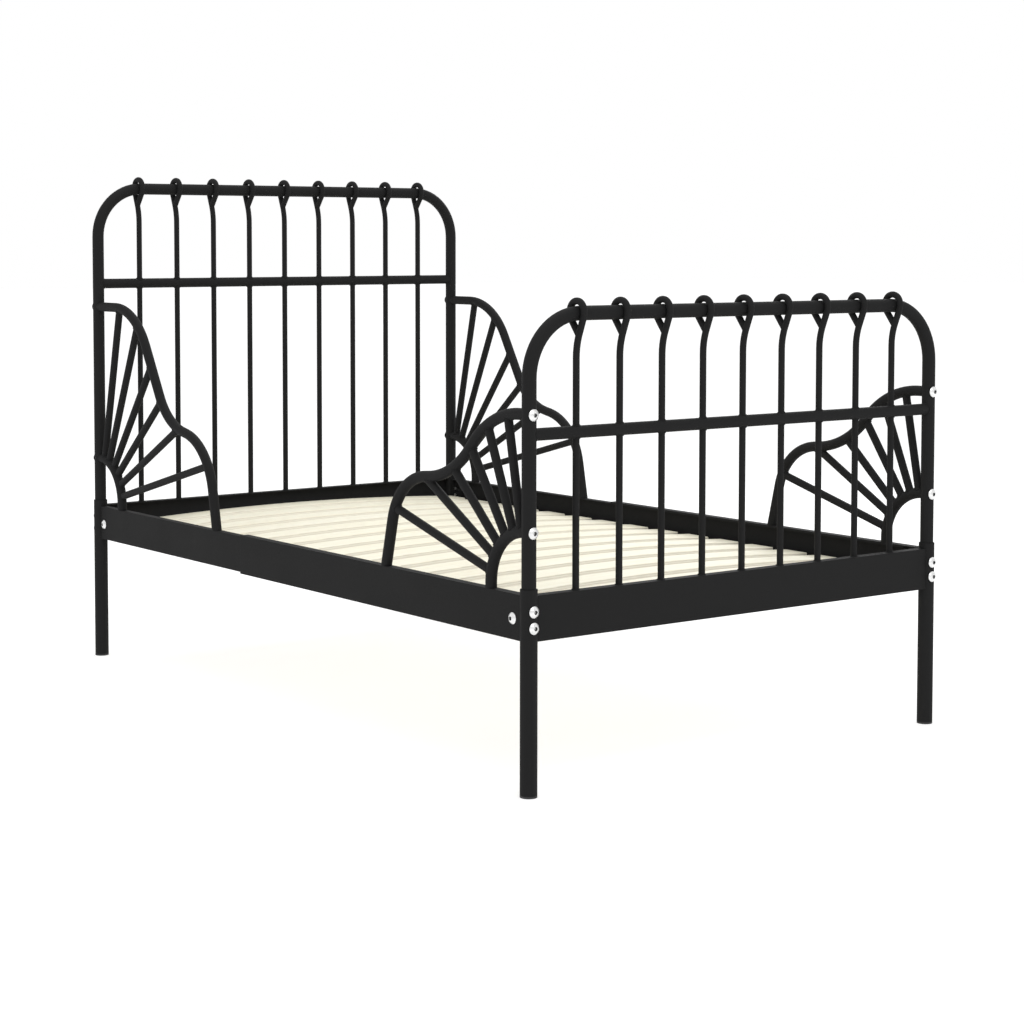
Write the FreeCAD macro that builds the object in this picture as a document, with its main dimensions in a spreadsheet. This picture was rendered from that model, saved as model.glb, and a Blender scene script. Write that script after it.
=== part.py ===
import FreeCAD, Part
import math
import os
import Sketcher

# Toddler bed: steel tube end panels, telescoping side rails, fan guards and a slatted base.
# Row frame in millimetres: +Z up, +Y toward the headboard, X across the bed, origin on the
# floor under the middle of the bed.

os.makedirs("parts", exist_ok=True)
doc = FreeCAD.newDocument("toddler_bed")
V = FreeCAD.Vector
X_AXIS, Y_AXIS, Z_AXIS = V(1, 0, 0), V(0, 1, 0), V(0, 0, 1)
HALF_TURN = FreeCAD.Rotation(Z_AXIS, 180)

ROD_COUNT = 9
SLAT_COUNT = 16
SIDES = (("left", -1), ("right", 1))
# End panels: name, direction of the panel from the bed's middle along Y.
ENDS = (("foot", -1), ("head", 1))
SPOKE_ANGLES = {"foot": (79, 67.5, 55.5, 42.5, 30, 15.5), "head": (77, 65.5, 52.5, 40.5, 28, 14.5)}

DIMENSIONS = (
    # overall sizes
    ("bed_width", "835"), ("bed_length", "1344"), ("head_height", "900"), ("foot_height", "700"),
    # legs
    ("leg_d", "25"), ("leg_wall", "1.5"), ("leg_top", "294"), ("cap_flange", "3"), ("cap_plug", "17"),
    ("post_x", "=(bed_width - leg_d) / 2"), ("post_y", "=(bed_length - leg_d) / 2"),
    ("fit_gap", "0.05"), ("leg_cut_r", "=leg_d / 2 + fit_gap"),
    # bent hoops
    ("hoop_d", "21"), ("hoop_wall", "1.5"), ("bend_r", "90"), ("hoop_bottom", "200"),
    ("hoop_r", "=hoop_d / 2"), ("hoop_core_r", "=hoop_d / 2 - hoop_wall"), ("ring_rise", "22.2"),
    ("head_tube_z", "=head_height - ring_rise"), ("foot_tube_z", "=foot_height - ring_rise"),
    ("hoop_cut_r", "=hoop_d / 2 + fit_gap"),
    # straight rail half way up each panel
    ("mid_d", "18"), ("mid_wall", "1.2"), ("head_mid_z", "700"), ("foot_mid_z", "510"),
    # sheet steel rails
    ("rail_bottom", "220"), ("rail_top", "285"), ("sheet", "2"), ("nest_gap", "0.2"), ("rail_step", "7.6"),
    ("lip", "16"), ("cross_foot", "20"), ("cross_half", "396"), ("tray", "36"), ("upstand_top", "241"),
    ("rail_face", "=post_x + rail_step"), ("inner_face", "=rail_face - sheet - nest_gap"),
    ("rail_back", "8"), ("tray_back", "14.5"),
    ("rail_start", "=post_y - rail_back"), ("tray_start", "=post_y - tray_back"),
    ("seam_y", "127"), ("inner_end_y", "617"), ("inner_tray", "=tray - 2 * (sheet + nest_gap)"),
    # upright rods and the eyes that hang them on the hoop
    ("rod_d", "10"), ("rod_r", "=rod_d / 2"), ("rod_pitch", "80"), ("rod_inset", "1.5"),
    ("eye_gap", "0.1"), ("eye_r", "=hoop_d / 2 + rod_d / 2 + eye_gap"),
    ("eye_out_angle", "22"), ("eye_in_angle", "37.8"), ("eye_top_r", "15"), ("sway_r", "90"),
    ("eye_top_z", "=ring_rise - rod_d / 2"),
    ("eye_out_z", "=-eye_r * tan(eye_out_angle * 1deg / 2)"),
    ("sway_z", "=eye_out_z - (eye_r + rod_inset) / tan(eye_out_angle * 1deg)"),
    ("eye_in_z", "=-eye_r * tan(eye_in_angle * 1deg / 2)"),
    ("tail_run", "5"), ("tail_length", "20"),
    ("tail_y", "=-eye_r * cos(eye_in_angle * 1deg) + tail_run * sin(eye_in_angle * 1deg)"),
    ("tail_z", "=-eye_r * sin(eye_in_angle * 1deg) - tail_run * cos(eye_in_angle * 1deg)"),
    ("head_rod_z", "=rail_top - head_tube_z"), ("foot_rod_z", "=rail_top - foot_tube_z"),
    # fan guards: corners of the rim before bending, from the post's axis and the rail's top
    ("rim_d", "17"), ("rim_wall", "1.2"), ("spoke_d", "13"), ("spoke_wall", "1"),
    ("rim_r", "=rim_d / 2"), ("rim_core_r", "=rim_d / 2 - rim_wall"), ("rim_overrun", "5"),
    ("tool_reach", "600"), ("tool_over", "20"),
    ("arc_reach", "88"), ("arc_bend", "80"),
    ("foot_rim_h", "253"), ("foot_rim_x1", "87"), ("foot_rim_x2", "179"), ("foot_rim_z2", "152"),
    ("foot_rim_x3", "322"), ("foot_rim_z3", "139"), ("foot_rim_x4", "356"),
    ("foot_rim_r1", "152"), ("foot_rim_r2", "160"), ("foot_rim_r3", "95"),
    ("foot_guard_z", "0"), ("foot_rim_end_z", "=foot_guard_z - rim_overrun"),
    ("foot_rim_slope", "=(foot_rim_x4 - foot_rim_x3) / (foot_rim_z3 - foot_guard_z)"),
    ("foot_rim_end_x", "=foot_rim_x4 + rim_overrun * foot_rim_slope"),
    ("head_rim_h", "372"), ("head_rim_x1", "146"), ("head_rim_x2", "266"), ("head_rim_z2", "170"),
    ("head_rim_x3", "412"), ("head_rim_z3", "143"), ("head_rim_x4", "441"),
    ("head_rim_r1", "137"), ("head_rim_r2", "122"), ("head_rim_r3", "115"),
    ("head_guard_z", "=-(sheet + nest_gap)"), ("head_rim_end_z", "=head_guard_z - rim_overrun"),
    ("head_rim_slope", "=(head_rim_x4 - head_rim_x3) / (head_rim_z3 - head_guard_z)"),
    ("head_rim_end_x", "=head_rim_x4 + rim_overrun * head_rim_slope"),
    # corner brackets, bolts and nuts
    ("plate", "4"), ("tab", "3"), ("tab_length", "28"), ("bracket_low", "226"), ("bracket_high", "280"),
    ("bracket_in", "396.5"), ("bolt_low_z", "240"), ("bolt_high_z", "263"), ("side_bolt_z", "250"),
    ("foot_bolt_in", "28"), ("head_bolt_in", "24"), ("drill_run", "60"),
    ("head_r", "8.5"), ("head_h", "4.5"), ("dome_r", "11"), ("key_r", "3.3"), ("key_depth", "3.2"),
    ("shank_d", "5.8"), ("leg_shank", "32"), ("side_shank", "13"), ("guard_shank", "31"), ("hole_gap", "0.1"),
    ("insert_r", "5.8"), ("insert_end", "22"), ("nut_flats", "10"), ("nut_h", "5"),
    # slats
    ("slat_length", "790"), ("slat_width", "53"), ("slat_thick", "8"), ("slat_crown", "13"),
    ("slat_pitch", "82.8"), ("slat_z", "240.1"), ("slat_round", "2"),
    ("slat_arc_r", "=(slat_length^2 / 4 + slat_crown^2) / (2 * slat_crown)"),
)

sheet = doc.addObject("Spreadsheet::Sheet", "dims")
for row, (alias, value) in enumerate(DIMENSIONS, start=1):
    sheet.set("A%d" % row, alias)
    sheet.set("B%d" % row, value)
    sheet.setAlias("B%d" % row, alias)
doc.recompute()


def value_of(term):
    """Number for a term such as 'post_x', '-post_x' or '12.5'."""
    sign = -1 if term.startswith("-") else 1
    name = term.lstrip("-")
    if name[0].isdigit():
        return sign * float(name)
    return sign * float(getattr(sheet, name))


def expression_of(term):
    sign = "-" if term.startswith("-") else ""
    name = term.lstrip("-")
    if name[0].isdigit():
        return sign + name
    return sign + "dims." + name


def bind(obj, **formulas):
    for prop, formula in formulas.items():
        obj.setExpression(prop, formula)
    return obj


def place(obj, x="0", y="0", z="0", rotation=None):
    """Bind the position to formulas; the rotation is fixed."""
    if rotation is not None:
        obj.Placement = FreeCAD.Placement(V(0, 0, 0), rotation)
    for axis, formula in (("x", x), ("y", y), ("z", z)):
        obj.setExpression("Placement.Base." + axis, formula)
    return obj


def cylinder(name, radius, height, x="0", y="0", z="0", rotation=None):
    obj = doc.addObject("Part::Cylinder", name)
    bind(obj, Radius=radius, Height=height)
    return place(obj, x, y, z, rotation)


def box(name, low, high):
    """Box between two corners, each a triple of formulas."""
    obj = doc.addObject("Part::Box", name)
    sizes = ["(%s) - (%s)" % (b, a) for a, b in zip(low, high)]
    bind(obj, Length=sizes[0], Width=sizes[1], Height=sizes[2])
    return place(obj, *low)


def side_box(name, side, near, far, y0, y1, z0, z1):
    """Box on one side of the bed, between two distances from the middle plane."""
    if side < 0:
        return box(name, ("-(%s)" % far, y0, z0), ("-(%s)" % near, y1, z1))
    return box(name, (near, y0, z0), (far, y1, z1))


def fuse(name, shapes, refine=True):
    obj = doc.addObject("Part::MultiFuse", name)
    obj.Shapes = shapes
    obj.Refine = refine
    return obj


def group(name, shapes):
    obj = doc.addObject("Part::Compound", name)
    obj.Links = shapes
    return obj


def cut(name, base, tools):
    obj = doc.addObject("Part::Cut", name)
    obj.Base = base
    obj.Tool = tools[0] if len(tools) == 1 else group(name + "_tools", tools)
    return obj


def linked(name, target, x="0", y="0", z="0", rotation=None):
    obj = doc.addObject("App::Link", name)
    obj.LinkedObject = target
    return place(obj, x, y, z, rotation)


def bent_path(name, corners, radii, rotation):
    """Sketch of straight runs joined by tangent bends, like the centre line of a bent tube.

    corners are pairs of terms in the sketch's plane and radii one term for each inner corner.
    """
    sketch = doc.addObject("Sketcher::SketchObject", name)
    sketch.Placement = FreeCAD.Placement(V(0, 0, 0), rotation)
    points = [V(value_of(a), value_of(b), 0) for a, b in corners]
    starts, ends, arcs = [points[0]], [], []
    for i, term in enumerate(radii, start=1):
        back = (points[i - 1] - points[i]).normalize()
        ahead = (points[i + 1] - points[i]).normalize()
        half = back.getAngle(ahead) / 2
        radius = value_of(term)
        run = radius / math.tan(half)
        depth = radius / math.sin(half)
        middle = (back + ahead).normalize()
        centre = points[i] + middle * depth
        ends.append(points[i] + back * run)
        starts.append(points[i] + ahead * run)
        # sketch arcs run anticlockwise, so a bend to the right is drawn from its far end
        turns_left = back.cross(ahead).z < 0
        limits = [math.atan2(p.y - centre.y, p.x - centre.x) for p in (ends[-1], starts[-1])]
        arcs.append((centre, radius, limits if turns_left else limits[::-1], turns_left))
    ends.append(points[-1])
    lines = [sketch.addGeometry(Part.LineSegment(a, b), False) for a, b in zip(starts, ends)]
    bends = [
        sketch.addGeometry(Part.ArcOfCircle(Part.Circle(centre, Z_AXIS, radius), *limits), False)
        for centre, radius, limits, turns_left in arcs
    ]
    guides = [sketch.addGeometry(Part.LineSegment(a, b), True) for a, b in zip(points, points[1:])]

    def constrain(*arguments):
        return sketch.addConstraint(Sketcher.Constraint(*arguments))

    for i, (a, b) in enumerate(corners):
        guide, end = (guides[i], 1) if i < len(guides) else (guides[-1], 2)
        if 0 < i < len(guides):
            constrain("Coincident", guides[i - 1], 2, guides[i], 1)
        for kind, term in (("DistanceX", a), ("DistanceY", b)):
            index = constrain(kind, -1, 1, guide, end, value_of(term))
            sketch.setExpression("Constraints[%d]" % index, expression_of(term))
    constrain("Coincident", lines[0], 1, guides[0], 1)
    constrain("Coincident", lines[-1], 2, guides[-1], 2)
    for i, bend in enumerate(bends):
        first, last = (1, 2) if arcs[i][3] else (2, 1)
        constrain("Tangent", lines[i], 2, bend, first)
        constrain("Tangent", bend, last, lines[i + 1], 1)
        constrain("PointOnObject", bend, first, guides[i])
        constrain("PointOnObject", bend, last, guides[i + 1])
        index = constrain("Radius", bend, value_of(radii[i]))
        sketch.setExpression("Constraints[%d]" % index, expression_of(radii[i]))
    return sketch


def circle_sketch(name, radius_term, x, y, z, rotation):
    sketch = doc.addObject("Sketcher::SketchObject", name)
    circle = Part.Circle(V(0, 0, 0), Z_AXIS, value_of(radius_term))
    sketch.addGeometry(circle, False)
    sketch.addConstraint(Sketcher.Constraint("Coincident", 0, 3, -1, 1))
    index = sketch.addConstraint(Sketcher.Constraint("Radius", 0, value_of(radius_term)))
    sketch.setExpression("Constraints[%d]" % index, expression_of(radius_term))
    return place(sketch, x, y, z, rotation)


def sweep(name, profile, path):
    obj = doc.addObject("Part::Sweep", name)
    obj.Sections = [profile]
    obj.Spine = (path, [])
    obj.Solid = True
    obj.Frenet = False
    return obj


ALONG_X = FreeCAD.Rotation(Y_AXIS, 90)
XZ_PLANE = FreeCAD.Rotation(X_AXIS, 90)
YZ_PLANE = FreeCAD.Rotation(V(1, 1, 1), 120)
nodes = []


def node(obj, name):
    obj.Label = name
    nodes.append(obj)
    return obj


def make_bolt(name, shank_length):
    """Domed socket bolt along Z: the head's underside is at zero and the shank points down."""
    disc = cylinder(name + "_disc", "dims.head_r", "dims.head_h")
    dome = doc.addObject("Part::Sphere", name + "_dome")
    bind(dome, Radius="dims.dome_r")
    place(dome, z="dims.head_h - dims.dome_r")
    head = doc.addObject("Part::MultiCommon", name + "_head")
    head.Shapes = [disc, dome]
    shank = cylinder(name + "_shank", "dims.shank_d / 2", shank_length, z="-(%s)" % shank_length)
    key = doc.addObject("Part::Prism", name + "_key")
    key.Polygon = 6
    bind(key, Circumradius="dims.key_r", Height="dims.key_depth + 1")
    place(key, z="dims.head_h - dims.key_depth")
    return cut(name, fuse(name + "_blank", [head, shank]), [key])


leg_bolt = make_bolt("leg_bolt", "dims.leg_shank")
side_bolt = make_bolt("side_bolt", "dims.side_shank")
guard_bolt = make_bolt("guard_bolt", "dims.guard_shank")


def signed(sign, formula):
    """The formula, or its negative on the low side of an axis."""
    return "-(%s)" % formula if sign < 0 else formula


def bolt_hole_y(name, x, y_middle, z):
    """Bolt hole along Y, centred on the given point."""
    radius = "dims.shank_d / 2 + dims.hole_gap"
    start = "(%s) + dims.drill_run / 2" % y_middle
    return cylinder(name, radius, "dims.drill_run", x, start, z, FreeCAD.Rotation(X_AXIS, 90))


def leg_bolt_holes(name, x, y):
    """Holes of the two bolts through a post and its corner bracket."""
    levels = ("low", "high")
    return [bolt_hole_y("%s_hole_%s" % (name, level), x, y, "dims.bolt_%s_z" % level) for level in levels]


def bolt_hole_x(name, end, sign, x_sign):
    """Hole of the bolt that holds a side rail to its corner bracket."""
    y = signed(sign, "dims.post_y - dims.%s_bolt_in" % end)
    x = signed(x_sign, "dims.post_x") + " - dims.drill_run / 2"
    radius = "dims.shank_d / 2 + dims.hole_gap"
    return cylinder(name, radius, "dims.drill_run", x, y, "dims.side_bolt_z", ALONG_X)


def post_tools(end, sign, name, radius):
    """Two upright cylinders on the posts' axes, used to cope what meets the posts."""
    y = signed(sign, "dims.post_y")
    tools = []
    for side, x_sign in SIDES:
        x = signed(x_sign, "dims.post_x")
        tools.append(cylinder("%s_%s_cope_%s" % (end, name, side), radius, "dims.head_height", x, y))
    return tools


def make_hoop(end, sign):
    """Bent tube that runs from one leg over the top of the panel to the other, drilled for its bolts."""
    path = bent_path(
        end + "_hoop_path",
        (
            ("-post_x", "hoop_bottom"), ("-post_x", end + "_tube_z"),
            ("post_x", end + "_tube_z"), ("post_x", "hoop_bottom"),
        ),
        ("bend_r", "bend_r"),
        XZ_PLANE,
    )
    solids = []
    for part, radius in (("blank", "hoop_r"), ("core", "hoop_core_r")):
        name = "%s_hoop_%s" % (end, part)
        start = ("-dims.post_x", "0", "dims.hoop_bottom")
        solids.append(sweep(name, circle_sketch(name + "_ring", radius, *start, FreeCAD.Rotation()), path))
    heights = ["dims.bolt_low_z", "dims.bolt_high_z"]
    heights += ["dims.rail_top + " + rise for rise in guard_bolt_heights(end)]
    holes = [
        bolt_hole_y("%s_%s_hoop_hole_%d" % (end, side, i), signed(x_sign, "dims.post_x"), "0", height)
        for side, x_sign in SIDES
        for i, height in enumerate(heights)
    ]
    tube = cut(end + "_hoop_tube", solids[0], [solids[1]])
    node(place(cut(end + "_hoop_drilled", tube, holes), y=signed(sign, "dims.post_y")), end + "_hoop")


def guard_bolt_heights(end):
    """Heights above the rail of the two bolts that hold a guard to its post."""
    return ("dims.%s_rim_h" % end, "dims.arc_reach")


def make_legs(end, sign):
    """Leg tubes that sleeve the ends of the hoop, and their floor caps."""
    caps = []
    y = signed(sign, "dims.post_y")
    wall_r = "dims.leg_d / 2 - dims.leg_wall"
    for side, x_sign in SIDES:
        x = signed(x_sign, "dims.post_x")
        name = "%s_leg_%s" % (end, side)
        tube_height = "dims.leg_top - dims.cap_flange"
        outer = cylinder(name + "_outer", "dims.leg_d / 2", tube_height, x, y, "dims.cap_flange")
        bore = cylinder(name + "_bore", wall_r, "dims.leg_top", x, y, "0")
        node(cut(name + "_tube", outer, [bore] + leg_bolt_holes(name, x, y)), name)
        flange = cylinder(name + "_flange", "dims.leg_d / 2", "dims.cap_flange", x, y, "0")
        plug_height = "dims.cap_plug + dims.cap_flange"
        plug = cylinder(name + "_plug", wall_r + " - dims.hole_gap", plug_height, x, y, "0")
        caps.append(fuse(name + "_cap", [flange, plug]))
    node(group(end + "_caps", caps), end + "_leg_caps")


def rod_places():
    """X of each upright rod."""
    return ["%g * dims.rod_pitch" % (i - (ROD_COUNT - 1) / 2) for i in range(ROD_COUNT)]


def make_mid_rail(end, sign):
    """Tube across the panel, coped to the posts and drilled through for the rods."""
    y = signed(sign, "dims.post_y")
    rod_y = signed(sign, "dims.post_y - dims.rod_inset")
    z = "dims.%s_mid_z" % end
    across = ("2 * dims.post_x", "-dims.post_x", y, z, ALONG_X)
    rail = cylinder(end + "_mid_outer", "dims.mid_d / 2", *across)
    bore = cylinder(end + "_mid_bore", "dims.mid_d / 2 - dims.mid_wall", *across)
    hollow = cut(end + "_mid_tube", rail, [bore])
    coped = cut(end + "_mid_coped", hollow, post_tools(end, sign, "mid", "dims.hoop_cut_r"))
    below = z + " - dims.drill_run / 2"
    hole_r = "dims.rod_r + dims.fit_gap"
    rod_holes = [
        cylinder("%s_mid_hole_%d" % (end, i), hole_r, "dims.drill_run", x, rod_y, below)
        for i, x in enumerate(rod_places())
    ]
    node(cut(end + "_mid_drilled", coped, rod_holes), end + "_mid_rail")


def make_cross_rail(end, sign):
    """Sheet steel channel between the legs, open toward the bed."""

    def strip(name, deep, z0, z1):
        ys = [signed(sign, "dims.post_y + dims.rail_step - (%s)" % offset) for offset in ("0", deep)]
        low, high = ys if sign < 0 else ys[::-1]
        return box("%s_cross_%s" % (end, name), ("-dims.cross_half", low, z0), ("dims.cross_half", high, z1))

    channel = fuse(end + "_cross_channel", [
        strip("web", "dims.sheet", "dims.rail_bottom", "dims.rail_top"),
        strip("lip", "dims.lip", "dims.rail_top - dims.sheet", "dims.rail_top"),
        strip("flange", "dims.cross_foot", "dims.rail_bottom", "dims.rail_bottom + dims.sheet"),
    ])
    trimmed = cut(end + "_cross_trimmed", channel, post_tools(end, sign, "cross", "dims.leg_cut_r"))
    node(trimmed, end + "_cross_rail")


def make_rods(end, sign):
    """Upright rods, each with a closed eye bent round the hoop's top tube."""
    rod_path = bent_path(
        end + "_rod_path",
        (
            ("-rod_inset", end + "_rod_z"), ("-rod_inset", "sway_z"), ("eye_r", "eye_out_z"),
            ("eye_r", "eye_top_z"), ("-eye_r", "eye_top_z"), ("-eye_r", "eye_in_z"), ("tail_y", "tail_z"),
        ),
        ("sway_r", "eye_r", "eye_top_r", "eye_top_r", "eye_r"),
        YZ_PLANE,
    )
    foot = ("0", "-dims.rod_inset", "dims.%s_rod_z" % end)
    ring = circle_sketch(end + "_rod_ring", "rod_r", *foot, FreeCAD.Rotation())
    bar = sweep(end + "_rod_bar", ring, rod_path)
    tail = cylinder(end + "_rod_tail", "dims.rod_r", "dims.tail_length", "0", "dims.tail_y", "dims.tail_z")
    tail.Placement.Rotation = FreeCAD.Rotation(X_AXIS, 180 + value_of("eye_in_angle"))
    rod = fuse(end + "_rod_master", [bar, tail], False)
    turn = HALF_TURN if sign < 0 else FreeCAD.Rotation()
    y = signed(sign, "dims.post_y")
    rods = [
        linked("%s_rod_%d" % (end, i), rod, x, y, "dims.%s_tube_z" % end, turn)
        for i, x in enumerate(rod_places())
    ]
    node(group(end + "_rod_set", rods), end + "_rods")


def make_side_rail(end, sign, side, x_sign):
    """Sheet steel side rail with a top lip, and the ledge welded inside it that carries the slats.

    The head end's pair nests inside the foot end's pair and slides in it.
    """
    name = "%s_side_rail_%s" % (end, side)
    if sign < 0:
        face, rise, tray = "dims.rail_face", "0", "dims.tray"
        web_y, tray_y = ("-dims.rail_start", "dims.seam_y"), ("-dims.tray_start", "dims.seam_y")
    else:
        face, rise, tray = "dims.inner_face", "(dims.sheet + dims.nest_gap)", "dims.inner_tray"
        web_y, tray_y = ("-dims.inner_end_y", "dims.rail_start"), ("-dims.inner_end_y", "dims.tray_start")
    low, high = "dims.rail_bottom + " + rise, "dims.rail_top - " + rise
    lip_edge = "dims.rail_face - dims.lip"
    tray_edge = "%s - %s" % (face, tray)
    web_in = "%s - dims.sheet" % face
    rail = fuse(name + "_section", [
        side_box(name + "_web", x_sign, web_in, face, *web_y, low, high),
        side_box(name + "_lip", x_sign, lip_edge, face, *web_y, high + " - dims.sheet", high),
    ])
    upstand_in = tray_edge + " + dims.sheet"
    ledge = fuse(name + "_ledge_section", [
        side_box(name + "_tray", x_sign, tray_edge, web_in, *tray_y, low, low + " + dims.sheet"),
        side_box(name + "_upstand", x_sign, tray_edge, upstand_in, *tray_y, low, "dims.upstand_top"),
    ])
    post = (signed(x_sign, "dims.post_x"), signed(sign, "dims.post_y"), "0")
    cope = cylinder(name + "_cope", "dims.leg_cut_r", "dims.rail_top", *post)
    node(cut(name + "_coped", rail, [cope, bolt_hole_x(name + "_hole", end, sign, x_sign)]), name)
    node(ledge, "%s_slat_ledge_%s" % (end, side))


def make_corner(end, sign, side, x_sign):
    """Angle bracket between a post and a side rail, with the side bolt's nut welded to it."""
    name = "%s_bracket_%s" % (end, side)
    face = "dims.rail_face" if sign < 0 else "dims.inner_face"
    web = "%s - dims.sheet" % face
    back = "dims.post_y - dims.leg_d / 2"
    heights = ("dims.bracket_low", "dims.bracket_high")

    def span(depth):
        pair = (signed(sign, "%s - %s" % (back, depth)), signed(sign, back))
        return pair if sign > 0 else pair[::-1]

    plate = side_box(name + "_plate", x_sign, "dims.bracket_in", web, *span("dims.plate"), *heights)
    tab = side_box(name + "_tab", x_sign, web + " - dims.tab", web, *span("dims.tab_length"), *heights)
    nut = doc.addObject("Part::Prism", name + "_nut")
    nut.Polygon = 6
    bind(nut, Circumradius="dims.nut_flats / 2 / cos(30deg)", Height="dims.nut_h + dims.tab")
    nut_x = signed(x_sign, web) if x_sign < 0 else "%s - dims.tab - dims.nut_h" % web
    place(nut, nut_x, signed(sign, "dims.post_y - dims.%s_bolt_in" % end), "dims.side_bolt_z", ALONG_X)
    holes = leg_bolt_holes(name, signed(x_sign, "dims.post_x"), signed(sign, "dims.post_y"))
    holes.append(bolt_hole_x(name + "_side_hole", end, sign, x_sign))
    return cut(name, fuse(name + "_angle", [plate, tab, nut]), holes)


def make_guard(end, sign, side, x_sign):
    """Fan guard beside one post: bent rim, small inner arc and six spokes.

    It is drawn with X running along the bed from the post's axis and Z up from the rail's top.
    """
    name = "%s_guard_%s" % (end, side)
    spot = (signed(x_sign, "dims.post_x"), signed(sign, "dims.post_y"), "dims.rail_top")
    turn = FreeCAD.Rotation(Z_AXIS, -90 * sign)
    base = end + "_guard_z"
    rim_path = bent_path(
        name + "_rim_path",
        (
            ("0", end + "_rim_h"), (end + "_rim_x1", end + "_rim_h"), (end + "_rim_x2", end + "_rim_z2"),
            (end + "_rim_x3", end + "_rim_z3"), (end + "_rim_end_x", end + "_rim_end_z"),
        ),
        (end + "_rim_r1", end + "_rim_r2", end + "_rim_r3"),
        XZ_PLANE,
    )
    arc_path = bent_path(
        name + "_arc_path",
        (("0", "arc_reach"), ("arc_reach", "arc_reach"), ("arc_reach", base)),
        ("arc_bend",),
        XZ_PLANE,
    )
    blanks = []
    for part, path, height in (("rim", rim_path, "dims.%s_rim_h" % end), ("arc", arc_path, "dims.arc_reach")):
        label = "%s_%s" % (name, part)
        solids = []
        for kind, radius in (("blank", "rim_r"), ("core", "rim_core_r")):
            profile = circle_sketch("%s_%s_ring" % (label, kind), radius, "0", "0", height, ALONG_X)
            solids.append(sweep("%s_%s" % (label, kind), profile, path))
        tube = cut(label + "_tube", solids[0], [solids[1]])
        post = cylinder(label + "_cope", "dims.hoop_cut_r", "dims.tool_reach", z="-dims.tool_over")
        trim_low = ("-dims.tool_over", "-dims.tool_over", "dims.%s - dims.tool_over" % base)
        rail = box(label + "_trim", trim_low, ("dims.tool_reach", "dims.tool_over", "dims." + base))
        node(place(cut(label + "_coped", tube, [post, rail]), *spot, turn), label)
        blanks.append(solids[0])
    doc.recompute()

    rods, cores = [], []
    for i, angle in enumerate(SPOKE_ANGLES[end]):
        lean = FreeCAD.Rotation(Y_AXIS, 90 - angle)
        ray = Part.makeLine(V(0, 0, 0), lean.multVec(V(0, 0, value_of("tool_reach"))))
        start, stop = [ray.distToShape(path.Shape)[1][0][0] for path in (arc_path, rim_path)]
        for store, radius in ((rods, "dims.spoke_d / 2"), (cores, "dims.spoke_d / 2 - dims.spoke_wall")):
            kind = "rod" if store is rods else "core"
            spoke = doc.addObject("Part::Cylinder", "%s_spoke_%s_%d" % (name, kind, i))
            bind(spoke, Radius=radius)
            spoke.Height = (stop - start).Length
            spoke.Placement = FreeCAD.Placement(start, lean)
            store.append(spoke)
    hollow = cut(name + "_spoke_tubes", group(name + "_spoke_rods", rods), cores)
    coped = cut(name + "_spokes_coped", hollow, blanks)
    node(place(coped, *spot, turn), name + "_spokes")


def make_fasteners(end, sign):
    """Bolts of one end, and the threaded inserts in the guards' tube ends."""
    face_out = FreeCAD.Rotation(X_AXIS, -90 * sign)
    sets = {kind: [] for kind in ("leg_bolts", "guard_bolts", "side_bolts", "guard_inserts")}
    post_y = signed(sign, "dims.post_y")
    for side, x_sign in SIDES:
        x = signed(x_sign, "dims.post_x")
        tag = "%s_%s" % (end, side)
        for level in ("low", "high"):
            y = signed(sign, "dims.post_y + dims.leg_d / 2")
            z = "dims.bolt_%s_z" % level
            sets["leg_bolts"].append(linked("%s_leg_bolt_%s" % (tag, level), leg_bolt, x, y, z, face_out))
        for i, height in enumerate(guard_bolt_heights(end)):
            z = "dims.rail_top + " + height
            y = signed(sign, "dims.post_y + dims.hoop_d / 2")
            bolt = linked("%s_guard_bolt_%d" % (tag, i), guard_bolt, x, y, z, face_out)
            sets["guard_bolts"].append(bolt)
            label = "%s_insert_%d" % (tag, i)
            plug_y = signed(sign, "dims.post_y - dims.insert_end")
            plug = cylinder(label + "_plug", "dims.insert_r", "dims.insert_end", x, plug_y, z, face_out)
            thread = bolt_hole_y(label + "_thread", x, post_y, z)
            below = z + " - dims.drill_run / 2"
            cope = cylinder(label + "_cope", "dims.hoop_cut_r", "dims.drill_run", x, post_y, below)
            sets["guard_inserts"].append(cut(label, plug, [thread, cope]))
        rail_x = signed(x_sign, "dims.rail_face" if sign < 0 else "dims.inner_face")
        y = signed(sign, "dims.post_y - dims.%s_bolt_in" % end)
        turn = FreeCAD.Rotation(Y_AXIS, 90 * x_sign)
        bolt = linked(tag + "_side_bolt", side_bolt, rail_x, y, "dims.side_bolt_z", turn)
        sets["side_bolts"].append(bolt)
    for kind, solids in sets.items():
        node(group("%s_%s_set" % (end, kind), solids), "%s_%s" % (end, kind))


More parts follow.
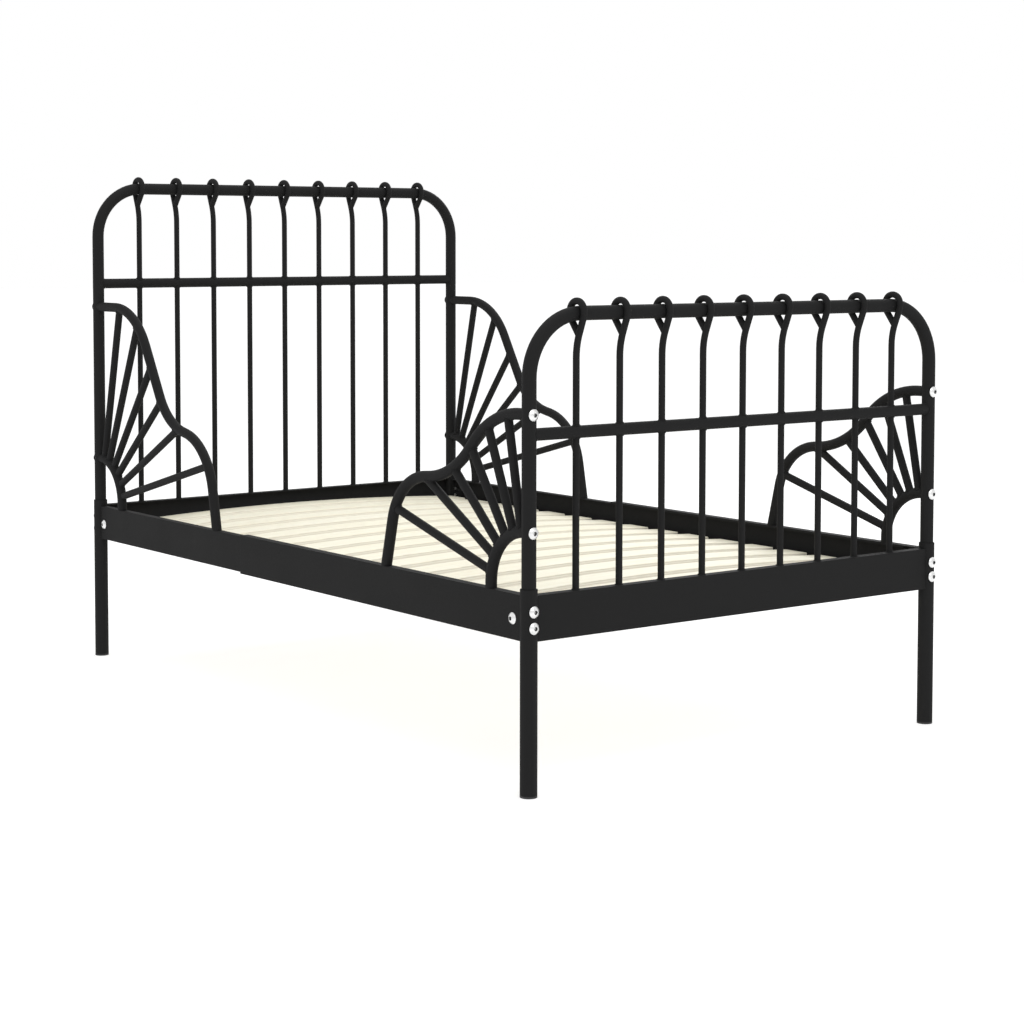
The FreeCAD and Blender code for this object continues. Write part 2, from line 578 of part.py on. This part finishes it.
def make_slat(number):
    """One crowned slat, padded from its curved side profile."""
    name = "slat_%02d" % number
    body = doc.addObject("PartDesign::Body", name + "_body")
    plane = next(f for f in body.Origin.OriginFeatures if f.Role == "XZ_Plane")
    profile = body.newObject("Sketcher::SketchObject", name + "_profile")
    profile.AttachmentSupport = [(plane, "")]
    profile.MapMode = "FlatFace"
    half, rise = value_of("slat_length") / 2, value_of("slat_crown")
    for base in (0, value_of("slat_thick")):
        profile.addGeometry(Part.Arc(V(-half, base, 0), V(0, base + rise, 0), V(half, base, 0)), False)
    for x in (-half, half):
        profile.addGeometry(Part.LineSegment(V(x, 0, 0), V(x, value_of("slat_thick"), 0)), False)

    def constrain(formula, *arguments):
        index = profile.addConstraint(Sketcher.Constraint(*arguments))
        if formula:
            profile.setExpression("Constraints[%d]" % index, formula)

    # an arc drawn over the top keeps its start at the right hand end
    for arc, corner in ((0, 1), (1, 2)):
        constrain("", "Coincident", arc, 1, 3, corner)
        constrain("", "Coincident", arc, 2, 2, corner)
    constrain("dims.slat_length / 2", "DistanceX", -1, 1, 3, 1, half)
    constrain("dims.slat_length / 2", "DistanceX", 2, 1, -1, 1, half)
    constrain("", "PointOnObject", 3, 1, -1)
    constrain("", "PointOnObject", 2, 1, -1)
    constrain("", "Vertical", 2)
    constrain("", "Vertical", 3)
    constrain("dims.slat_thick", "DistanceY", 3, 1, 3, 2, value_of("slat_thick"))
    constrain("dims.slat_thick", "DistanceY", 2, 1, 2, 2, value_of("slat_thick"))
    for arc in (0, 1):
        constrain("dims.slat_arc_r", "Radius", arc, value_of("slat_arc_r"))
    pad = body.newObject("PartDesign::Pad", name + "_pad")
    pad.Profile = profile
    pad.Midplane = True
    bind(pad, Length="dims.slat_width")
    doc.recompute()
    long_edges = ["Edge%d" % (i + 1) for i, edge in enumerate(pad.Shape.Edges) if edge.Length > half]
    rounding = body.newObject("PartDesign::Fillet", name + "_rounding")
    rounding.Base = (pad, long_edges)
    bind(rounding, Radius="dims.slat_round")
    body.Tip = rounding
    offset = number - (SLAT_COUNT + 1) / 2
    node(place(body, "0", "%g * dims.slat_pitch" % offset, "dims.slat_z"), name)


for end, sign in ENDS:
    make_hoop(end, sign)
    make_legs(end, sign)
    make_mid_rail(end, sign)
    make_cross_rail(end, sign)
    make_rods(end, sign)
    for side, x_sign in SIDES:
        make_side_rail(end, sign, side, x_sign)
        make_guard(end, sign, side, x_sign)
    brackets = [make_corner(end, sign, side, x_sign) for side, x_sign in SIDES]
    node(group(end + "_bracket_set", brackets), end + "_corner_brackets")
    make_fasteners(end, sign)
for number in range(1, SLAT_COUNT + 1):
    make_slat(number)
doc.recompute()

for obj in doc.Objects:
    states = [s for s in obj.State if s in ("Invalid", "Error")]
    if states:
        raise RuntimeError("%s is %s" % (obj.Name, states))
for obj in nodes:
    shape = obj.Shape
    if shape.isNull() or not shape.isValid() or not shape.Solids:
        raise RuntimeError("%s has no valid solid" % obj.Label)
    shape.exportStep("parts/%s.step" % obj.Label)
    print(obj.Label, len(shape.Solids), round(shape.Volume / 1000, 2), "cm3")
print(len(nodes), "nodes")
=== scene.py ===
import math

import bmesh
import bpy
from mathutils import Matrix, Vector


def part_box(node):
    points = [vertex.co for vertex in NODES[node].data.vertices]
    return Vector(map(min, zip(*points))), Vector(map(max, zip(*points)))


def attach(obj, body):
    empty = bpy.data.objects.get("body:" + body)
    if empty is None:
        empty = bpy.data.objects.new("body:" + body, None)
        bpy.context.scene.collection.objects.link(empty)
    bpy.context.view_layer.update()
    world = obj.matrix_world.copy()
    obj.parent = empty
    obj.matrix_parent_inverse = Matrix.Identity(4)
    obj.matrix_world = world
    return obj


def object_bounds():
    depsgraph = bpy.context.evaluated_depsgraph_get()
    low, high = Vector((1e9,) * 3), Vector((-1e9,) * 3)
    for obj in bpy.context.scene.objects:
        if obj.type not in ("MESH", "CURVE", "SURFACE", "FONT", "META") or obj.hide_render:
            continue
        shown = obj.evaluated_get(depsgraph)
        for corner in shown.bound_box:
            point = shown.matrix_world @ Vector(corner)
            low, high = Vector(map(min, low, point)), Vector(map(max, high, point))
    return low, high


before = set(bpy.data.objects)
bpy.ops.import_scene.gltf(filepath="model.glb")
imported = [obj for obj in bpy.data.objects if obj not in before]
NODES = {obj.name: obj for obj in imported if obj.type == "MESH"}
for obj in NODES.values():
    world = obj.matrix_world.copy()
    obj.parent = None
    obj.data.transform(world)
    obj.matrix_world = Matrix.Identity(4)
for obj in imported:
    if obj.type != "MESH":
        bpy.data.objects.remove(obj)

# Looks for the toddler bed: black powder coated steel, pale lacquered plywood slats, zinc bolts and
# inserts and black plastic leg caps, with the weld beads at the joints. Metres throughout.

cad_low, cad_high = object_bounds()
bed_centre = (cad_low + cad_high) / 2
ENDS = ("foot", "head")
SLAT_NAMES = sorted(name for name in NODES if name.startswith("slat_"))
SLAT_THICK = 0.008
PLY_COUNT = 5.0
EDGE_FACING = 0.55


def middle(node):
    """Centre of a CAD node's box."""
    low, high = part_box(node)
    return (Vector(low) + Vector(high)) / 2


# ---------------------------------------------------------------- materials


def add_node(tree, kind, sockets=None, **settings):
    """New shader node: settings are its properties and sockets its inputs, as values or links."""
    node = tree.nodes.new(kind)
    for key, value in settings.items():
        setattr(node, key, value)
    for key, value in (sockets or {}).items():
        if isinstance(value, bpy.types.NodeSocket):
            tree.links.new(value, node.inputs[key])
        else:
            node.inputs[key].default_value = value
    return node


def math_node(tree, operation, a, b=0.0):
    """Result of one operation on numbers, each a value or a link."""
    return add_node(tree, "ShaderNodeMath", {0: a, 1: b}, operation=operation).outputs[0]


def vector_node(tree, operation, a, b):
    """Result of one operation on vectors, each a value or a link."""
    return add_node(tree, "ShaderNodeVectorMath", {0: a, 1: b}, operation=operation).outputs[0]


def new_material(name, **constants):
    """Material with one Principled shader, its constant inputs set on the shader itself."""
    material = bpy.data.materials.new(name)
    material.use_nodes = True
    tree = material.node_tree
    shader = tree.nodes["Principled BSDF"]
    for key, value in constants.items():
        shader.inputs[key.replace("_", " ").title().replace("Ior", "IOR")].default_value = value
    place = add_node(tree, "ShaderNodeTexCoord").outputs["Object"]
    return material, tree, shader, place


def noise(tree, place, scale, detail=2.0, stretch=(1, 1, 1), distortion=0.0):
    """Noise in the object's own metres: scale is features per metre, stretch multiplies each axis."""
    mapped = add_node(tree, "ShaderNodeMapping", {"Vector": place, "Scale": stretch})
    made = add_node(
        tree, "ShaderNodeTexNoise",
        {"Vector": mapped.outputs[0], "Scale": scale, "Detail": detail, "Distortion": distortion},
    )
    return made.outputs["Fac"]


def ramp(tree, factor, stops):
    """Colour ramp from (position, colour) stops."""
    node = add_node(tree, "ShaderNodeValToRGB", {0: factor})
    elements = node.color_ramp.elements
    while len(elements) < len(stops):
        elements.new(0.5)
    for element, (position, colour) in zip(elements, stops):
        element.position = position
        element.color = (*colour, 1.0)
    return node.outputs["Color"]


def spread(tree, factor, low, high):
    """Maps noise, which mostly lies between 0.3 and 0.7, to a range of values."""
    node = add_node(
        tree, "ShaderNodeMapRange",
        {"Value": factor, "From Min": 0.3, "From Max": 0.7, "To Min": low, "To Max": high},
    )
    return node.outputs["Result"]


def mix(tree, factor, a, b, blend="MIX"):
    """Blend of two colours, each a value or a link."""
    node = add_node(tree, "ShaderNodeMix", {0: factor}, data_type="RGBA", blend_type=blend)
    for index, value in ((6, a), (7, b)):
        if isinstance(value, bpy.types.NodeSocket):
            tree.links.new(value, node.inputs[index])
        else:
            node.inputs[index].default_value = (*value, 1.0)
    return node.outputs[2]


def bump(tree, height, distance, strength, normal=None):
    """Normal tilted by a height field, distance in metres."""
    sockets = {"Height": height, "Distance": distance, "Strength": strength}
    if normal is not None:
        sockets["Normal"] = normal
    return add_node(tree, "ShaderNodeBump", sockets).outputs["Normal"]


def powder_coat():
    """Satin black powder coat: fine orange peel, speckle, a trace of dust and softened sheet edges."""
    material, tree, shader, place = new_material("black_powder_coat", specular_ior_level=0.11)
    peel = noise(tree, place, 520, 3)
    grit = noise(tree, place, 2400, 1)
    cloud = noise(tree, place, 9, 3)
    dark = ramp(tree, grit, ((0.35, (0.0088, 0.0088, 0.0090)), (0.68, (0.0120, 0.0120, 0.0122))))
    dusty = mix(tree, spread(tree, cloud, 0.0, 0.12), dark, (0.02, 0.02, 0.0195))
    tree.links.new(dusty, shader.inputs["Base Color"])
    rough = math_node(tree, "ADD", spread(tree, cloud, 0.64, 0.72), spread(tree, peel, -0.03, 0.04))
    tree.links.new(rough, shader.inputs["Roughness"])
    rounded = add_node(tree, "ShaderNodeBevel", {"Radius": 0.0012}, samples=4).outputs["Normal"]
    peeled = bump(tree, peel, 0.00005, 0.7, rounded)
    tree.links.new(bump(tree, grit, 0.000008, 0.5, peeled), shader.inputs["Normal"])
    return material


def plywood():
    """Pale lacquered plywood: long grain, pores, a tint of its own for each slat, plies on the edges."""
    material, tree, shader, place = new_material("slat_plywood", specular_ior_level=0.4)
    axes = add_node(tree, "ShaderNodeSeparateXYZ", {0: place}).outputs
    pitch = middle(SLAT_NAMES[1]).y - middle(SLAT_NAMES[0]).y
    number = math_node(tree, "FLOOR", math_node(tree, "DIVIDE", axes["Y"], pitch))
    lot = add_node(tree, "ShaderNodeTexWhiteNoise", {"W": number}, noise_dimensions="1D")

    # every slat is cut from a different place in the sheet
    shift = vector_node(tree, "MULTIPLY", lot.outputs["Color"], (7.0, 3.0, 5.0))
    own = vector_node(tree, "ADD", place, shift)
    figure = noise(tree, own, 26, 4, stretch=(0.10, 1.6, 1.0), distortion=0.9)
    streak = noise(tree, own, 240, 3, stretch=(0.035, 1.4, 1.0))
    pores = noise(tree, own, 900, 2, stretch=(0.05, 1.0, 1.0))

    pale, warm, deep = (0.85, 0.84, 0.72), (0.80, 0.765, 0.60), (0.67, 0.58, 0.41)
    wood = mix(tree, spread(tree, figure, 0.0, 0.62), pale, warm)
    wood = mix(tree, spread(tree, streak, 0.0, 0.34), wood, deep)
    wood = mix(tree, spread(tree, pores, 0.0, 0.14), wood, deep)
    wood = mix(tree, math_node(tree, "MULTIPLY", lot.outputs["Value"], 0.30), wood, warm)

    # plies seen on the long edges, which curve with the crown of the slat
    low, high = (Vector(corner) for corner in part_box(SLAT_NAMES[0]))
    half_length = (high.x - low.x) / 2
    crown = high.z - low.z - SLAT_THICK
    along = math_node(tree, "DIVIDE", axes["X"], half_length)
    drop = math_node(tree, "MULTIPLY", math_node(tree, "MULTIPLY", along, along), -crown)
    floor_z = math_node(tree, "ADD", drop, low.z + crown)
    depth = math_node(tree, "DIVIDE", math_node(tree, "SUBTRACT", axes["Z"], floor_z), SLAT_THICK)
    plies = math_node(tree, "PINGPONG", math_node(tree, "MULTIPLY", depth, PLY_COUNT), 1.0)
    ply_tone = mix(tree, plies, (0.66, 0.61, 0.50), (0.83, 0.80, 0.68))
    normal = add_node(tree, "ShaderNodeTexCoord").outputs["Normal"]
    facing = add_node(tree, "ShaderNodeSeparateXYZ", {0: normal}).outputs
    upright = math_node(tree, "ABSOLUTE", facing["Z"])
    cut_edge = math_node(tree, "LESS_THAN", upright, EDGE_FACING)
    tree.links.new(mix(tree, cut_edge, wood, ply_tone), shader.inputs["Base Color"])
    tree.links.new(spread(tree, streak, 0.42, 0.54), shader.inputs["Roughness"])
    long_grain = math_node(tree, "MULTIPLY", streak, 0.7)
    grain = math_node(tree, "ADD", long_grain, math_node(tree, "MULTIPLY", pores, 0.3))
    tree.links.new(bump(tree, grain, 0.00016, 0.7), shader.inputs["Normal"])
    return material


def zinc():
    """Bright zinc plated steel with fine handling marks, a cloudy passivated tone, and painted shade
    darkening its recesses.
    """
    material, tree, shader, place = new_material("bolt_zinc", metallic=1.0)
    cloud = noise(tree, place, 260, 3)
    grit = noise(tree, place, 2600, 2)
    plated = ramp(tree, cloud, ((0.3, (0.70, 0.705, 0.71)), (0.7, (0.86, 0.86, 0.85))))
    # painted shade: an ambient occlusion ramp darkens the zinc colour toward black in sockets, recesses
    # and corners where shade falls
    hollow = add_node(tree, "ShaderNodeAmbientOcclusion", {"Distance": 0.004}, samples=8, only_local=True)
    painted_recess_shade = ramp(tree, hollow.outputs["AO"], ((0.45, (0.10, 0.10, 0.10)), (0.85, (1.0, 1.0, 1.0))))
    tree.links.new(mix(tree, 1.0, plated, painted_recess_shade, "MULTIPLY"), shader.inputs["Base Color"])
    tree.links.new(spread(tree, cloud, 0.22, 0.36), shader.inputs["Roughness"])
    rounded = add_node(tree, "ShaderNodeBevel", {"Radius": 0.0005}, samples=4).outputs["Normal"]
    tree.links.new(bump(tree, grit, 0.000012, 0.6, rounded), shader.inputs["Normal"])
    return material


def cap_plastic():
    """Black moulded plastic with a fine spark eroded texture and floor scuffs."""
    material, tree, shader, place = new_material("cap_plastic", specular_ior_level=0.35)
    grit = noise(tree, place, 1900, 2)
    scuff = noise(tree, place, 120, 4)
    tone = ramp(tree, grit, ((0.35, (0.012, 0.012, 0.013)), (0.7, (0.022, 0.022, 0.023))))
    scuffed = mix(tree, spread(tree, scuff, 0.0, 0.2), tone, (0.07, 0.07, 0.068))
    tree.links.new(scuffed, shader.inputs["Base Color"])
    tree.links.new(spread(tree, scuff, 0.50, 0.64), shader.inputs["Roughness"])
    tree.links.new(bump(tree, grit, 0.00005, 0.8), shader.inputs["Normal"])
    return material


FINISHES = {
    "black_steel": powder_coat(),
    "plywood": plywood(),
    "zinc_steel": zinc(),
    "cap_plastic": cap_plastic(),
}


def finish_of(name):
    """The record's slot for a CAD node, from its name."""
    if name.startswith("slat_"):
        return "plywood"
    if name.endswith(("_bolts", "_inserts")):
        return "zinc_steel"
    if name.endswith("_caps"):
        return "cap_plastic"
    return "black_steel"


for name, node in NODES.items():
    node.data.materials.clear()
    node.data.materials.append(FINISHES[finish_of(name)])


# ---------------------------------------------------------------- weld beads


SHARP_ANGLE = math.radians(35)
MERGE_DISTANCE = 2e-6
FEWEST_POINTS = 9


def sharp_loops(node):
    """Closed loops of sharp edges on a CAD node, each a list of points in order."""
    mesh = bmesh.new()
    mesh.from_mesh(NODES[node].data)
    bmesh.ops.remove_doubles(mesh, verts=mesh.verts, dist=MERGE_DISTANCE)
    neighbours = {}
    for edge in mesh.edges:
        if len(edge.link_faces) == 2 and edge.calc_face_angle(0.0) > SHARP_ANGLE:
            for here, there in (edge.verts, reversed(edge.verts)):
                neighbours.setdefault(here.index, []).append(there.index)
    mesh.verts.ensure_lookup_table()
    loops, seen = [], set()
    for start in sorted(neighbours):
        if start in seen:
            continue
        chain, here = [], start
        while here is not None:
            seen.add(here)
            chain.append(mesh.verts[here].co.copy())
            here = next((other for other in neighbours[here] if other not in seen), None)
        if len(chain) >= FEWEST_POINTS:
            loops.append(chain)
    mesh.free()
    return loops


def perimeter(loop):
    """Length round a closed loop."""
    return sum((b - a).length for a, b in zip(loop, loop[1:] + loop[:1]))


def even_points(loop, count):
    """Points spaced evenly round a closed loop."""
    total = perimeter(loop)
    closed = loop + loop[:1]
    points, walked, target = [], 0.0, 0.0
    for a, b in zip(closed, closed[1:]):
        step = (b - a).length
        while step and target <= walked + step and len(points) < count:
            points.append(a.lerp(b, (target - walked) / step))
            target += total / count
        walked += step
    return points


# radius of a bead and height of its ripples, points along it, sides of its section, points to each
# ripple, and the turn per point of a slower swell that keeps the ripples uneven
BEAD_RADIUS = 0.0014
BEAD_RIPPLE = 0.00022
BEAD_STEPS = 44
BEAD_SIDES = 8
RIPPLE_STEPS = 4
SWELL_TURN = 0.57


def add_bead(mesh, loop, seed):
    """Rippled weld bead round a joint: a closed tube whose thickness pulses like laid drops."""
    points = even_points(loop, BEAD_STEPS)
    centre = sum(points, Vector()) / len(points)
    rings = []
    for i, point in enumerate(points):
        along = (points[(i + 1) % len(points)] - points[i - 1]).normalized()
        outward = (point - centre).normalized()
        outward = (outward - along * outward.dot(along)).normalized()
        across = along.cross(outward)
        pulse = math.sin(i * 2 * math.pi / RIPPLE_STEPS) + 0.5 * math.sin(i * SWELL_TURN + seed)
        radius = BEAD_RADIUS + BEAD_RIPPLE * pulse
        ring = []
        for k in range(BEAD_SIDES):
            turn = 2 * math.pi * k / BEAD_SIDES
            offset = outward * math.cos(turn) + across * math.sin(turn)
            ring.append(mesh.verts.new(point + offset * radius))
        rings.append(ring)
    for i, ring in enumerate(rings):
        following = rings[(i + 1) % len(rings)]
        for k in range(BEAD_SIDES):
            other = (k + 1) % BEAD_SIDES
            mesh.faces.new((ring[k], ring[other], following[other], following[k]))


def finish_piece(name, mesh, body, slot):
    """Smooth shaded piece from a bmesh, riding on a body and taking a slot's finish."""
    bmesh.ops.recalc_face_normals(mesh, faces=mesh.faces)
    data = bpy.data.meshes.new(name)
    mesh.to_mesh(data)
    mesh.free()
    for face in data.polygons:
        face.use_smooth = True
    piece = bpy.data.objects.new(name, data)
    bpy.context.scene.collection.objects.link(piece)
    data.materials.append(FINISHES[slot])
    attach(piece, body)


def weld_piece(name, loops, body):
    """One piece with a bead on each of several joints."""
    mesh = bmesh.new()
    for seed, loop in enumerate(loops):
        add_bead(mesh, loop, seed)
    finish_piece(name, mesh, body, "black_steel")


def loop_centre(loop):
    """Mean of a loop's points."""
    return sum(loop, Vector()) / len(loop)


FOOT_TOLERANCE = 0.001
SURFACE_TOLERANCE = 0.0004
SPOKE_SPACE = 0.008


def rod_feet(end):
    """Loops where the rods stand on the cross rail."""
    rail_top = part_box(end + "_cross_rail")[1][2]
    loops = sharp_loops(end + "_rods")
    return [loop for loop in loops if abs(loop_centre(loop).z - rail_top) < FOOT_TOLERANCE]


def mid_rail_crossings(end):
    """Loops on the outside of the middle rail, where the rods and the posts meet it."""
    axis = middle(end + "_mid_rail")
    low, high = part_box(end + "_mid_rail")
    radius = (high[2] - low[2]) / 2
    crossings = []
    for loop in sharp_loops(end + "_mid_rail"):
        distances = [math.hypot(point.y - axis.y, point.z - axis.z) for point in loop]
        inside = min(distances) <= radius - SURFACE_TOLERANCE
        outside = max(distances) >= radius + SURFACE_TOLERANCE
        if not inside and not outside:
            crossings.append(loop)
    return crossings


def spoke_ends(guard):
    """Outer loop of each end of the spokes: the loop of its bore, inside it, is shorter."""
    ends = []
    for loop in sorted(sharp_loops(guard + "_spokes"), key=perimeter, reverse=True):
        if all((loop_centre(loop) - loop_centre(other)).length > SPOKE_SPACE for other in ends):
            ends.append(loop)
    return ends


for end in ENDS:
    body = end + "_end"
    weld_piece(end + "_rod_welds", rod_feet(end) + mid_rail_crossings(end), body)
    for side in ("left", "right"):
        guard = "%s_guard_%s" % (end, side)
        weld_piece(guard + "_welds", spoke_ends(guard), body)


# ---------------------------------------------------------------- stage, light and camera


FLOOR_REACH = 30.0


def make_stage():
    """Wide pale floor under the bed."""
    mesh = bmesh.new()
    corners = [(-1, -1), (1, -1), (1, 1), (-1, 1)]
    mesh.faces.new([mesh.verts.new((x * FLOOR_REACH, y * FLOOR_REACH, cad_low.z)) for x, y in corners])
    data = bpy.data.meshes.new("stage_floor")
    mesh.to_mesh(data)
    mesh.free()
    floor = bpy.data.objects.new("stage_floor", data)
    bpy.context.scene.collection.objects.link(floor)
    material, tree, shader, place = new_material(
        "stage_paint", roughness=0.8, specular_ior_level=0.2, emission_strength=0.45
    )
    shader.inputs["Emission Color"].default_value = (1.0, 1.0, 1.0, 1.0)
    cloud = noise(tree, place, 1.5, 3)
    paint = ramp(tree, cloud, ((0.3, (0.60, 0.60, 0.60)), (0.7, (0.62, 0.62, 0.62))))
    tree.links.new(paint, shader.inputs["Base Color"])
    data.materials.append(material)


def make_light(name, place, size, energy):
    """Square softbox aimed at the middle of the bed."""
    data = bpy.data.lights.new(name, "AREA")
    data.size = size
    data.energy = energy
    light = bpy.data.objects.new(name, data)
    light.location = bed_centre + Vector(place)
    light.rotation_euler = (-Vector(place)).to_track_quat("-Z", "Y").to_euler()
    bpy.context.scene.collection.objects.link(light)


def make_camera(place, yaw, down, lens, shift):
    """Camera at a place: yaw turns it from +Y toward +X and down tips it to the floor, in degrees."""
    data = bpy.data.cameras.new("camera")
    data.lens = lens
    data.sensor_width = 36.0
    data.shift_x, data.shift_y = shift
    data.clip_start, data.clip_end = 0.1, 100.0
    camera = bpy.data.objects.new("camera", data)
    camera.location = place
    camera.rotation_euler = (math.radians(90 - down), 0.0, math.radians(-yaw))
    bpy.context.scene.collection.objects.link(camera)
    bpy.context.scene.camera = camera


def make_world():
    """Even white surroundings."""
    world = bpy.data.worlds.new("studio")
    world.use_nodes = True
    background = world.node_tree.nodes["Background"]
    background.inputs["Color"].default_value = (1.0, 1.0, 1.0, 1.0)
    background.inputs["Strength"].default_value = 1.0
    bpy.context.scene.world = world


make_stage()
make_world()
make_light("key", (-1.4, -3.1, 3.2), 2.4, 44.0)
make_light("top", (0.4, 0.6, 3.6), 2.8, 32.0)
make_light("rim", (2.8, 1.6, 1.8), 1.6, 22.0)
make_camera(place=(-2.260, -3.065, 0.778), yaw=36.14, down=3.31, lens=77.06, shift=(0.0391, -0.14))
bpy.context.scene.view_settings.view_transform = "Standard"
